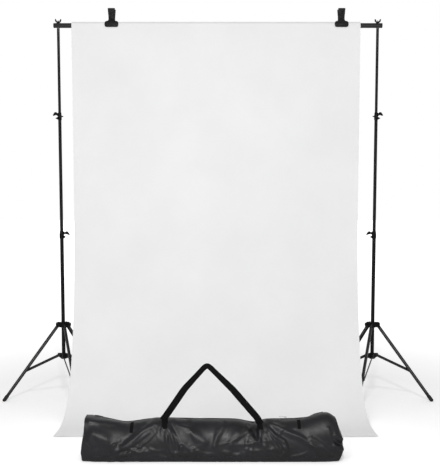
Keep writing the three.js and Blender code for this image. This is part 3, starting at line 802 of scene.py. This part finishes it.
def from_table(share, table, blur=0.0):
    """Reads a table of (share, value) rows at many shares, optionally averaged over a width."""
    places, values = zip(*table)
    offsets = np.linspace(-blur, blur, 7) if blur else [0.0]
    return np.mean([np.interp(share + offset, places, values) for offset in offsets], axis=0)


END_CROWDING = 0.75  # draws the rings of the bag's grid towards its ends
CAP_SCALES = (0.97, 0.88, 0.72, 0.5, 0.25)  # the rings of each end panel
CAP_BULGE = 0.007
GIRTH_HEIGHT = 0.16  # where the bag is widest, as a share of its height at that place
SKIN_SLACK = 3 * MM  # how far the skin stands outside the filled bag's depth
SKIN_LIFT = 1 * MM  # and off the floor


def evened(line, count, closed=False):
    """The same line or closed outline, with its points spaced evenly along it."""
    if closed:
        line = np.vstack([line, line[:1]])
    lengths = distances_along(line)
    even = np.linspace(0, lengths[-1], count, endpoint=not closed)
    return np.stack([np.interp(even, lengths, line[:, i]) for i in (0, 1)], axis=1)


def bag_ring(share, scale, bulge, around):
    """One ring of the bag's skin: nearly square on the floor, and round on top."""
    angles = np.linspace(-math.pi / 2, 1.5 * math.pi, 2000, endpoint=False)
    c, s = np.cos(angles), np.sin(angles)
    top = float(from_table(share, BAG_TOP, blur=0.006)) * BAG_HEIGHT
    girth = GIRTH_HEIGHT * top
    ends = 0.90 + 0.10 * float(smoothstep(min(share, 1 - share), 0.0, 0.06))
    half = (BAG_DEPTH / 2 + SKIN_SLACK) * ends
    power = np.where(s < 0, 0.2, from_table(share, BAG_ROUND))
    wide = np.abs(c) ** power * (1 - 0.1 * np.maximum(s, 0) ** 2) * np.sign(c)
    low = girth * (1 - np.abs(s) ** 0.6)
    high = girth + (top - girth) * np.abs(s) ** 0.9
    outline = np.stack([half * wide, np.where(s < 0, low, high)], axis=1)
    section = evened(outline, around, closed=True)
    y = BAG_MIDDLE_Y + section[:, 0] * scale
    z = girth + (section[:, 1] - girth) * scale + SKIN_LIFT
    left = BAG_LOW.x + from_table(z / BAG_HEIGHT, LEFT_END)
    right = BAG_HIGH.x - from_table(z / BAG_HEIGHT, RIGHT_END)
    x = left + (right - left) * share + bulge
    return np.stack([x, y, z], axis=1)


def bag_grid(along, around):
    """The bag's skin before it creases and sags, as rings along X."""
    rings = []
    for scale in reversed(CAP_SCALES):
        rings.append(bag_ring(0.0, scale, -CAP_BULGE * (1 - scale ** 2), around))
    for i in range(along):
        even = i / (along - 1)
        share = even - END_CROWDING * math.sin(2 * math.pi * even) / (2 * math.pi)
        rings.append(bag_ring(share, 1.0, 0.0, around))
    for scale in CAP_SCALES:
        rings.append(bag_ring(1.0, scale, CAP_BULGE * (1 - scale ** 2), around))
    return np.array(rings)


def fold_height(x, z, line, width):
    """A crease along a line of (x, z) points: 1 on its crest, fading to both sides and ends."""
    line = np.array(line)
    lengths = distances_along(line)
    nearest = np.full(x.shape, np.inf)
    place = np.zeros(x.shape)
    for start, end, before in zip(line, line[1:], lengths):
        run = end - start
        length = np.linalg.norm(run)
        t = np.clip(((x - start[0]) * run[0] + (z - start[1]) * run[1]) / length ** 2, 0, 1)
        gap = np.hypot(x - start[0] - t * run[0], z - start[1] - t * run[1])
        closer = gap < nearest
        nearest = np.where(closer, gap, nearest)
        place = np.where(closer, (before + t * length) / lengths[-1], place)
    ends = smoothstep(place, -0.02, 0.12) * (1 - 0.6 * smoothstep(place, 0.75, 1.0))
    spread = (nearest / width) ** 2
    return ends * (1 - 0.4 * spread) * np.exp(-spread / 2)


def random_folds(count, low, high, seed):
    """Short creases for the sides that no one looks at closely, slanting at random."""
    draw = random.Random(seed)
    folds = []
    for _ in range(count):
        share, height = draw.uniform(*low), draw.uniform(*high)
        slant, reach = draw.uniform(-1, 1), draw.uniform(0.05, 0.14)
        bend = draw.uniform(-0.03, 0.03)
        line = (
            (share, height),
            (share + slant * reach * 0.5 + bend, height - 0.22),
            (share + slant * reach, height - 0.45),
        )
        folds.append((draw.uniform(2.5, 6), draw.uniform(5, 10), line))
    return folds


def pulled_folds(foot_share, count, seed):
    """Creases that fan out below a foot of the handle, where the strap pulls at the cloth."""
    draw = random.Random(seed)
    folds = []
    for i in range(count):
        angle = math.radians(-80 + 160 * (i + draw.uniform(0.2, 0.8)) / count)
        first, reach = draw.uniform(0.02, 0.05), draw.uniform(0.09, 0.24)
        bend = draw.uniform(-0.04, 0.04)
        line = []
        for t in (0.0, 0.35, 0.7, 1.0):
            away = first + reach * t
            turned = angle + bend * t * 10
            x = foot_share + away * math.sin(turned) / BAG_LENGTH
            line.append((x, max(0.88 - away * math.cos(turned) / BAG_HEIGHT, 0.05)))
        folds.append((draw.uniform(3.5, 7), draw.uniform(5, 9), line))
    return folds


def sagging_folds(count, seed):
    """Long, nearly level creases low on the front, where the cloth slumps on its contents."""
    draw = random.Random(seed)
    folds = []
    for _ in range(count):
        share, height = draw.uniform(0.03, 0.88), draw.uniform(0.1, 0.42)
        reach, slope = draw.uniform(0.05, 0.12), draw.uniform(-0.12, 0.12)
        bow = draw.uniform(-0.05, 0.05)
        line = []
        for t in (0, 0.3, 0.6, 1):
            line.append((share + reach * t, height + slope * t + bow * math.sin(math.pi * t)))
        folds.append((draw.uniform(3, 6), draw.uniform(5, 9), line))
    return folds


FOLD_LIMITS = (-10 * MM, 13 * MM)
FOLD_FOOT = (3 * MM, 20 * MM)  # the folds fade out between these heights


def crease(rings):
    """Pushes the skin out along the folds, square to its surface."""
    x, y, z = rings[..., 0], rings[..., 1], rings[..., 2]
    front = 1 - smoothstep(y, BAG_MIDDLE_Y - 0.02, BAG_MIDDLE_Y + 0.03)
    feet = [(foot - BAG_LOW.x) / BAG_LENGTH for foot in HANDLE_FEET]
    small = random_folds(16, (0.02, 0.98), (0.3, 0.95), seed=4) + sagging_folds(22, seed=12)
    small += pulled_folds(feet[0], 12, seed=5) + pulled_folds(feet[1], 12, seed=9)
    rear = random_folds(30, (0.03, 0.97), (0.4, 1.0), seed=7) + sagging_folds(16, seed=3)
    lift = np.zeros(x.shape)
    for share, folds in ((front, FRONT_FOLDS), (0.6 * front, small), (1 - front, rear)):
        for height, width, line in folds:
            places = [(BAG_LOW.x + a * BAG_LENGTH, b * BAG_HEIGHT) for a, b in line]
            lift += share * height * MM * fold_height(x, z, places, width * MM)
    lift = np.clip(lift, *FOLD_LIMITS) * smoothstep(z, *FOLD_FOOT)
    along = np.gradient(rings, axis=0)
    around = np.roll(rings, -1, axis=1) - np.roll(rings, 1, axis=1)
    normals = np.cross(around, along)
    normals /= np.maximum(np.linalg.norm(normals, axis=2, keepdims=True), 1e-9)
    middle_line = rings.mean(axis=1, keepdims=True)
    facing = np.sign(((rings - middle_line) * normals).sum(axis=2, keepdims=True))
    return rings + normals * facing * lift[..., None]


def bag_mesh(rings):
    """Joins the rings into one closed skin, with a fan of triangles at each end."""
    count, around = rings.shape[:2]
    points = rings.reshape(-1, 3).tolist()
    faces = []
    for i in range(count - 1):
        for j in range(around):
            k = (j + 1) % around
            a, b = i * around, (i + 1) * around
            faces.append((a + j, b + j, b + k, a + k))
    for end, ring in ((0, rings[0]), (count - 1, rings[-1])):
        points.append(ring.mean(axis=0).tolist())
        centre = len(points) - 1
        for j in range(around):
            faces.append((end * around + j, end * around + (j + 1) % around, centre))
    mesh = bpy.data.meshes.new("bag_shell")
    mesh.from_pydata(points, [], faces)
    mesh.update()
    facing_out(mesh)
    return mesh


CLOTH_STEPS = 12
CLOTH_SLACK = 0.04  # how much too large the cloth is cut
CLOTH_REACH = 7 * MM  # no spot moves further than this
FLOOR_BAND = 4 * MM  # the cloth is held fast below this height
LOOSE_HOLD = 0.05  # and so much everywhere else
FLOOR_GAP = 0.6 * MM


def crumple(piece):
    """Lets the skin settle as cloth that is cut a little too large, so it buckles and sags."""
    rest = vertex_places(piece.data)
    held = piece.vertex_groups.new(name="held")
    for i, point in enumerate(rest):
        held.add([i], 1.0 if point[2] < FLOOR_BAND else LOOSE_HOLD, "REPLACE")
    modifier = piece.modifiers.new("cloth", "CLOTH")
    cloth = modifier.settings
    cloth.quality = 5
    cloth.mass = 0.2
    cloth.tension_stiffness = 15
    cloth.compression_stiffness = 15
    cloth.shear_stiffness = 5
    cloth.bending_stiffness = 0.08
    cloth.use_pressure = True
    cloth.uniform_pressure_force = 2.2
    cloth.shrink_min = -CLOTH_SLACK
    cloth.vertex_group_mass = held.name
    cloth.pin_stiffness = 0.5
    cloth.effector_weights.gravity = 0.1
    modifier.point_cache.frame_end = CLOTH_STEPS
    for step in range(1, CLOTH_STEPS + 1):
        bpy.context.scene.frame_set(step)
    apply_modifiers(piece)
    change = vertex_places(piece.data) - rest
    length = np.linalg.norm(change, axis=1, keepdims=True)
    settled = rest + change * np.minimum(1.0, CLOTH_REACH / np.maximum(length, 1e-9))
    settled[:, 2] = np.maximum(settled[:, 2], FLOOR_GAP)
    move_vertices(piece.data, settled)
    bpy.context.scene.frame_set(1)


ZIP_LOW, ZIP_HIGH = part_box("bag_zip_slider")
ZIP_Y = (ZIP_LOW.y + ZIP_HIGH.y) / 2
ZIP_SEAT = ZIP_LOW.z - 4 * MM  # the skin under the zip, so that the slider clears it
ZIP_TRAVEL = (ZIP_LOW.x - 0.78, ZIP_HIGH.x + 0.09)  # where the slider goes, in x
ZIP_SLOPE = 0.04  # the skin comes up again over this length, past both ends
ZIP_BAND = (17 * MM, 32 * MM)  # and between these distances to both sides
ZIP_ENDS = (0.06, 0.09)  # how far the zip stops short of the bag's two ends


def lower_under_zip(piece):
    """Flattens the top along the zip, wherever the skin stands above the slider's path."""
    points = vertex_places(piece.data)
    beside = 1 - smoothstep(np.abs(points[:, 1] - ZIP_Y), *ZIP_BAND)
    near = smoothstep(points[:, 0], ZIP_TRAVEL[0] - ZIP_SLOPE, ZIP_TRAVEL[0])
    near *= 1 - smoothstep(points[:, 0], ZIP_TRAVEL[1], ZIP_TRAVEL[1] + ZIP_SLOPE)
    points[:, 2] -= np.maximum(points[:, 2] - ZIP_SEAT, 0) * beside * near
    move_vertices(piece.data, points)


BAG_ALONG, BAG_AROUND = 280, 116


def carry_bag():
    """The bag's skin: creased, settled as cloth, flat under the zip, and then made finer."""
    piece = linked("bag_shell", bag_mesh(crease(bag_grid(BAG_ALONG, BAG_AROUND))))
    crumple(piece)
    lower_under_zip(piece)
    fine = piece.modifiers.new("fine", "SUBSURF")
    fine.levels = 1
    fine.render_levels = 1
    apply_modifiers(piece)
    piece.data.shade_smooth()
    dress(piece, NYLON)
    attach(piece, "bag", "black_nylon", ["bag_body"])
    return piece


def foot_height(x):
    """Where the bag's skin is under a foot of the handle, a little in front of the top line."""
    return 0.93 * BAG_HEIGHT * float(from_table((x - BAG_LOW.x) / BAG_LENGTH, BAG_TOP))


HANDLE_APEX = 0.447  # where the bend is, as a share of the way between the feet


def carry_handle():
    """One strap: up from its left foot, over a tight bend and down to its right foot."""
    left, right = HANDLE_FEET
    left_base, right_base = (foot_height(x) for x in HANDLE_FEET)
    top = HANDLE_HIGH.z - STRAP_WIDTH * 0.3
    apex = left + (right - left) * HANDLE_APEX
    low = HANDLE_LOW.z
    knots = np.array([
        (left - 0.012, left_base), (left + 0.005, low + 0.022), (left + 0.03, low + 0.058),
        (left + 0.098, low + 0.158), (apex - 0.01, top), (apex, top + 0.008), (apex + 0.01, top),
        (right - 0.132, low + 0.155), (right - 0.045, low + 0.052), (right - 0.012, low + 0.014),
        (right + 0.008, right_base),
    ])
    line = evened(knots, 120)
    for _ in range(6):
        line[1:-1] = (line[:-2] + 2 * line[1:-1] + line[2:]) / 4
    stations = []
    tangents = np.gradient(line, axis=0)
    for (x, z), (dx, dz), s in zip(line, tangents, np.linspace(0, 1, len(line))):
        along = Vector((dx, 0, dz)).normalized()
        folded = float(smoothstep(s, 0.2, 0.42) * smoothstep(1 - s, 0.25, 0.5))
        width = STRAP_WIDTH * (1.12 - 0.22 * folded)
        thickness = STRAP_THICKNESS * (1 + 0.9 * folded)
        centre = Vector((x, HANDLE_Y + 0.004 * math.sin(7 * s), z))
        across = along.cross(Vector((0, 1, 0)))
        stations.append((centre, across, Vector((0, 1, 0)), box_section(width, thickness)))
    mesh = swept_mesh("bag_handle_strap", stations)
    add_piece("bag_handle_strap", mesh, WEBBING, "bag_handle", "webbing", ["bag_handle"])


def surface_finder(piece):
    """A function that shoots a ray at the piece and returns where it lands and the normal there."""
    tree = BVHTree.FromObject(piece, bpy.context.evaluated_depsgraph_get())

    def find(origin, direction):
        place, normal, _, _ = tree.ray_cast(Vector(origin), Vector(direction))
        return place, normal

    return find


def over_the_top(find, x, low_share, high_share, count):
    """Places on the skin from the front, up and over the top, at one x."""
    centre = Vector((x, BAG_MIDDLE_Y, 0.35 * BAG_HEIGHT))
    places = []
    for t in np.linspace(low_share, high_share, count):
        angle = math.radians(180 * t)
        way = Vector((0, -math.cos(angle), math.sin(angle)))
        places.append(find(centre + way * 0.6, -way))
    return [place for place in places if place[0]]


def along_the_front(find, start, end, count):
    """Places on the front from one (share of length, share of height) to another."""
    places = []
    for t in np.linspace(0, 1, count):
        x = BAG_LOW.x + BAG_LENGTH * (start[0] + (end[0] - start[0]) * t)
        z = BAG_HEIGHT * (start[1] + (end[1] - start[1]) * t)
        places.append(find((x, BAG_LOW.y - 0.3, z), (0, 1, 0)))
    return [place for place in places if place[0]]


def smoothed(places, rounds):
    """Evens out a line of places on the skin, so a strap doesn't follow every wrinkle."""
    for _ in range(rounds):
        inner = [
            ((a[0] + 2 * b[0] + c[0]) / 4, (a[1] + 2 * b[1] + c[1]).normalized())
            for a, b, c in zip(places, places[1:], places[2:])
        ]
        places = [places[0], *inner, places[-1]]
    return places


def laid_strip(name, places, width, thickness, material, slot, rise=0.3):
    """A strap lying on a surface, along a line of (point, normal) places."""
    stations = []
    points = [p for p, _ in places]
    for i, (point, normal) in enumerate(places):
        along = (points[min(i + 1, len(points) - 1)] - points[max(i - 1, 0)]).normalized()
        side = along.cross(normal).normalized()
        up = side.cross(along)
        if up.dot(normal) < 0:
            up = -up
        stations.append((point + up * thickness * rise, side, up, box_section(width, thickness)))
    add_piece(name, swept_mesh(name, stations), material, "bag", slot)


def stitch_row(name, places, offset, length, gap, radius, lift):
    """A row of stitches, or of a zip's teeth, beside the middle of a laid strap."""
    shape = bmesh.new()
    points = [p for p, _ in places]
    steps = [0.0]
    for a, b in zip(points, points[1:]):
        steps.append(steps[-1] + (b - a).length)
    place = length
    while place < steps[-1] - length:
        i = max(k for k, step in enumerate(steps[:-1]) if step <= place)
        t = (place - steps[i]) / (steps[i + 1] - steps[i])
        along = (points[i + 1] - points[i]).normalized()
        normal = places[i][1].lerp(places[i + 1][1], t).normalized()
        side = along.cross(normal).normalized()
        centre = points[i].lerp(points[i + 1], t) + side * offset + normal * lift
        turn = Matrix((along, side, normal)).transposed().to_4x4()
        stretch = Matrix.Diagonal((length / 2, radius, radius * 0.7, 1))
        place_matrix = Matrix.Translation(centre) @ turn @ stretch
        bmesh.ops.create_icosphere(shape, subdivisions=1, radius=1.0, matrix=place_matrix)
        place += length + gap
    mesh = mesh_from(shape, name)
    mesh.shade_smooth()
    add_piece(name, mesh, THREAD, "bag", "webbing")


STITCH = {"length": 3.2 * MM, "gap": 1.6 * MM, "radius": 0.45 * MM, "lift": 2.0 * MM}
ZIP_TOOTH = {"length": 1.6 * MM, "gap": 1.4 * MM, "radius": 1.5 * MM, "lift": 1.5 * MM}
# The side tabs, as (name, share of the length, top and bottom as shares of the height).
SIDE_TABS = (("left", 0.194, 0.76, 0.60), ("right", 0.832, 0.84, 0.68))
BASE_WELT = ((0.03, 0.125), (0.965, 0.125))  # its ends, as shares of the length and the height
PATCH_REACH = (0.26, 0.43)  # its ends, from the front (0) over the top (0.5) to the rear (1)


def bag_trim(shell):
    """What is sewn on the bag: the strap's ends with their stitches, tabs, a welt and the zip."""
    find = surface_finder(shell)
    for label, x in zip(("left", "right"), HANDLE_FEET):
        places = smoothed(over_the_top(find, x, *PATCH_REACH, 16), 4)
        laid_strip(f"handle_patch_{label}", places, STRAP_WIDTH, 2.4 * MM, WEBBING, "webbing")
        for sign in (-1, 1):
            name = f"handle_stitches_{label}_{'inner' if sign > 0 else 'outer'}"
            offset = sign * 0.4 * STRAP_WIDTH
            stitch_row(name, places, offset, **STITCH)
    for label, share, top, bottom in SIDE_TABS:
        places = smoothed(along_the_front(find, (share, top), (share, bottom), 10), 2)
        laid_strip(f"side_tab_{label}", places, 16 * MM, 1.8 * MM, WEBBING, "webbing")
    base = smoothed(along_the_front(find, *BASE_WELT, 170), 3)
    laid_strip("base_welt_front", base, 4.5 * MM, 2.4 * MM, NYLON, "black_nylon", rise=0.1)
    zip_line(find)


def zip_line(find):
    """The zip: a tape along the top, behind the handle, with two rows of teeth."""
    xs = np.linspace(BAG_LOW.x + ZIP_ENDS[0], BAG_HIGH.x - ZIP_ENDS[1], 150)
    places = [find((x, ZIP_Y, 1.0), (0, 0, -1)) for x in xs]
    places = smoothed([place for place in places if place[0]], 6)
    laid_strip("bag_zip_tape", places, 30 * MM, 1.4 * MM, WEBBING, "webbing")
    for label, sign in (("front", -1), ("rear", 1)):
        offset = sign * 1.6 * MM
        stitch_row(f"zip_teeth_{label}", places, offset, **ZIP_TOOTH)


carry_handle()
bag_trim(carry_bag())
refined("bag_zip_slider", STEEL, 0.4 * MM)


# ---------- floor, light and camera ----------

WORLD_LIGHT = 0.47  # what the white surroundings give the scene; the camera sees them pure white
GLOW_NEAR, GLOW_FAR = 0.34, 1.0  # lifts the floor to white, for the camera only
GLOW_FROM, GLOW_TO = 1.8, 6.0
FLOOR_REACH = 400.0


def stage_floor():
    """A white floor out to the horizon, which only the camera sees glow."""
    mesh = bpy.data.meshes.new("studio_floor")
    signs = ((-1, -1), (1, -1), (1, 1), (-1, 1))
    corners = [(FLOOR_REACH * a, FLOOR_REACH * b, 0) for a, b in signs]
    mesh.from_pydata(corners, [], [(0, 1, 2, 3)])
    floor = linked("studio_floor", mesh)
    finish = Finish("floor_white", 0.9)
    finish.set("Base Color", grey(0.88))
    seen = finish.add("LightPath", {}, "Is Camera Ray")
    distance = finish.add("VectorMath", {0: finish.place}, "Value", operation="LENGTH")
    glow = finish.span(distance, GLOW_FROM, GLOW_TO, GLOW_NEAR, GLOW_FAR)
    finish.set("Emission Color", grey(1.0))
    finish.set("Emission Strength", finish.math("MULTIPLY", seen, glow))
    mesh.materials.append(finish.material)
    floor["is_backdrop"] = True


AIM = (0, COLUMN_Y - 0.8, 0.5)
# Each lamp's name, place, target, width in metres and power in watts.
LAMPS = (
    ("front_light", (0, COLUMN_Y - 4.9, 3.45), (0, COLUMN_Y - 0.4, 0.4), 0.25, 94),
    ("key_light", (-2.4, COLUMN_Y - 4.4, 2.2), AIM, 0.9, 12),
    ("fill_light", (3.0, COLUMN_Y - 4.4, 1.9), AIM, 1.2, 9),
    ("low_light", (-0.5, COLUMN_Y - 3.4, 1.5), (0, COLUMN_Y - 1.2, 0), 0.6, 14),
)


def area_light(name, place, target, width, power):
    """A square lamp of so many watts that faces a target."""
    data = bpy.data.lights.new(name, "AREA")
    data.shape = "SQUARE"
    data.size = width
    data.energy = power
    lamp = linked(name, data)
    lamp.location = place
    lamp.rotation_euler = (Vector(target) - Vector(place)).to_track_quat("-Z", "Y").to_euler()


def studio():
    world = bpy.data.worlds.new("studio_world")
    bpy.context.scene.world = world
    world.use_nodes = True
    tree = world.node_tree
    background = tree.nodes["Background"]
    background.inputs["Color"].default_value = (1, 1, 1, 1)
    path = tree.nodes.new("ShaderNodeLightPath")
    strength = tree.nodes.new("ShaderNodeMapRange")
    strength.inputs["To Min"].default_value = WORLD_LIGHT
    strength.inputs["To Max"].default_value = 1.0
    tree.links.new(path.outputs["Is Camera Ray"], strength.inputs["Value"])
    tree.links.new(strength.outputs["Result"], background.inputs["Strength"])
    for lamp in LAMPS:
        area_light(*lamp)


CAMERA_DISTANCE = 5.2
CAMERA_HEIGHT = 1.223
CAMERA_PITCH = 5.2  # degrees below level
CAMERA_LENS = 63.3
CAMERA_SHIFT = (0.0044, 0.1039)


def camera():
    data = bpy.data.cameras.new("camera")
    data.lens = CAMERA_LENS
    data.sensor_width = 36.0
    data.shift_x, data.shift_y = CAMERA_SHIFT
    data.clip_end = 100.0
    view = linked("camera", data)
    view.location = (0, COLUMN_Y - CAMERA_DISTANCE, CAMERA_HEIGHT)
    view.rotation_euler = (math.radians(90 - CAMERA_PITCH), 0, 0)
    bpy.context.scene.camera = view


stage_floor()
studio()
camera()
bpy.context.scene.view_settings.view_transform = "Standard"

sizes = {"cad": CAD_BOX, "visual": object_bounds()}
{k: [list(corner) for corner in box] for k, box in sizes.items()}
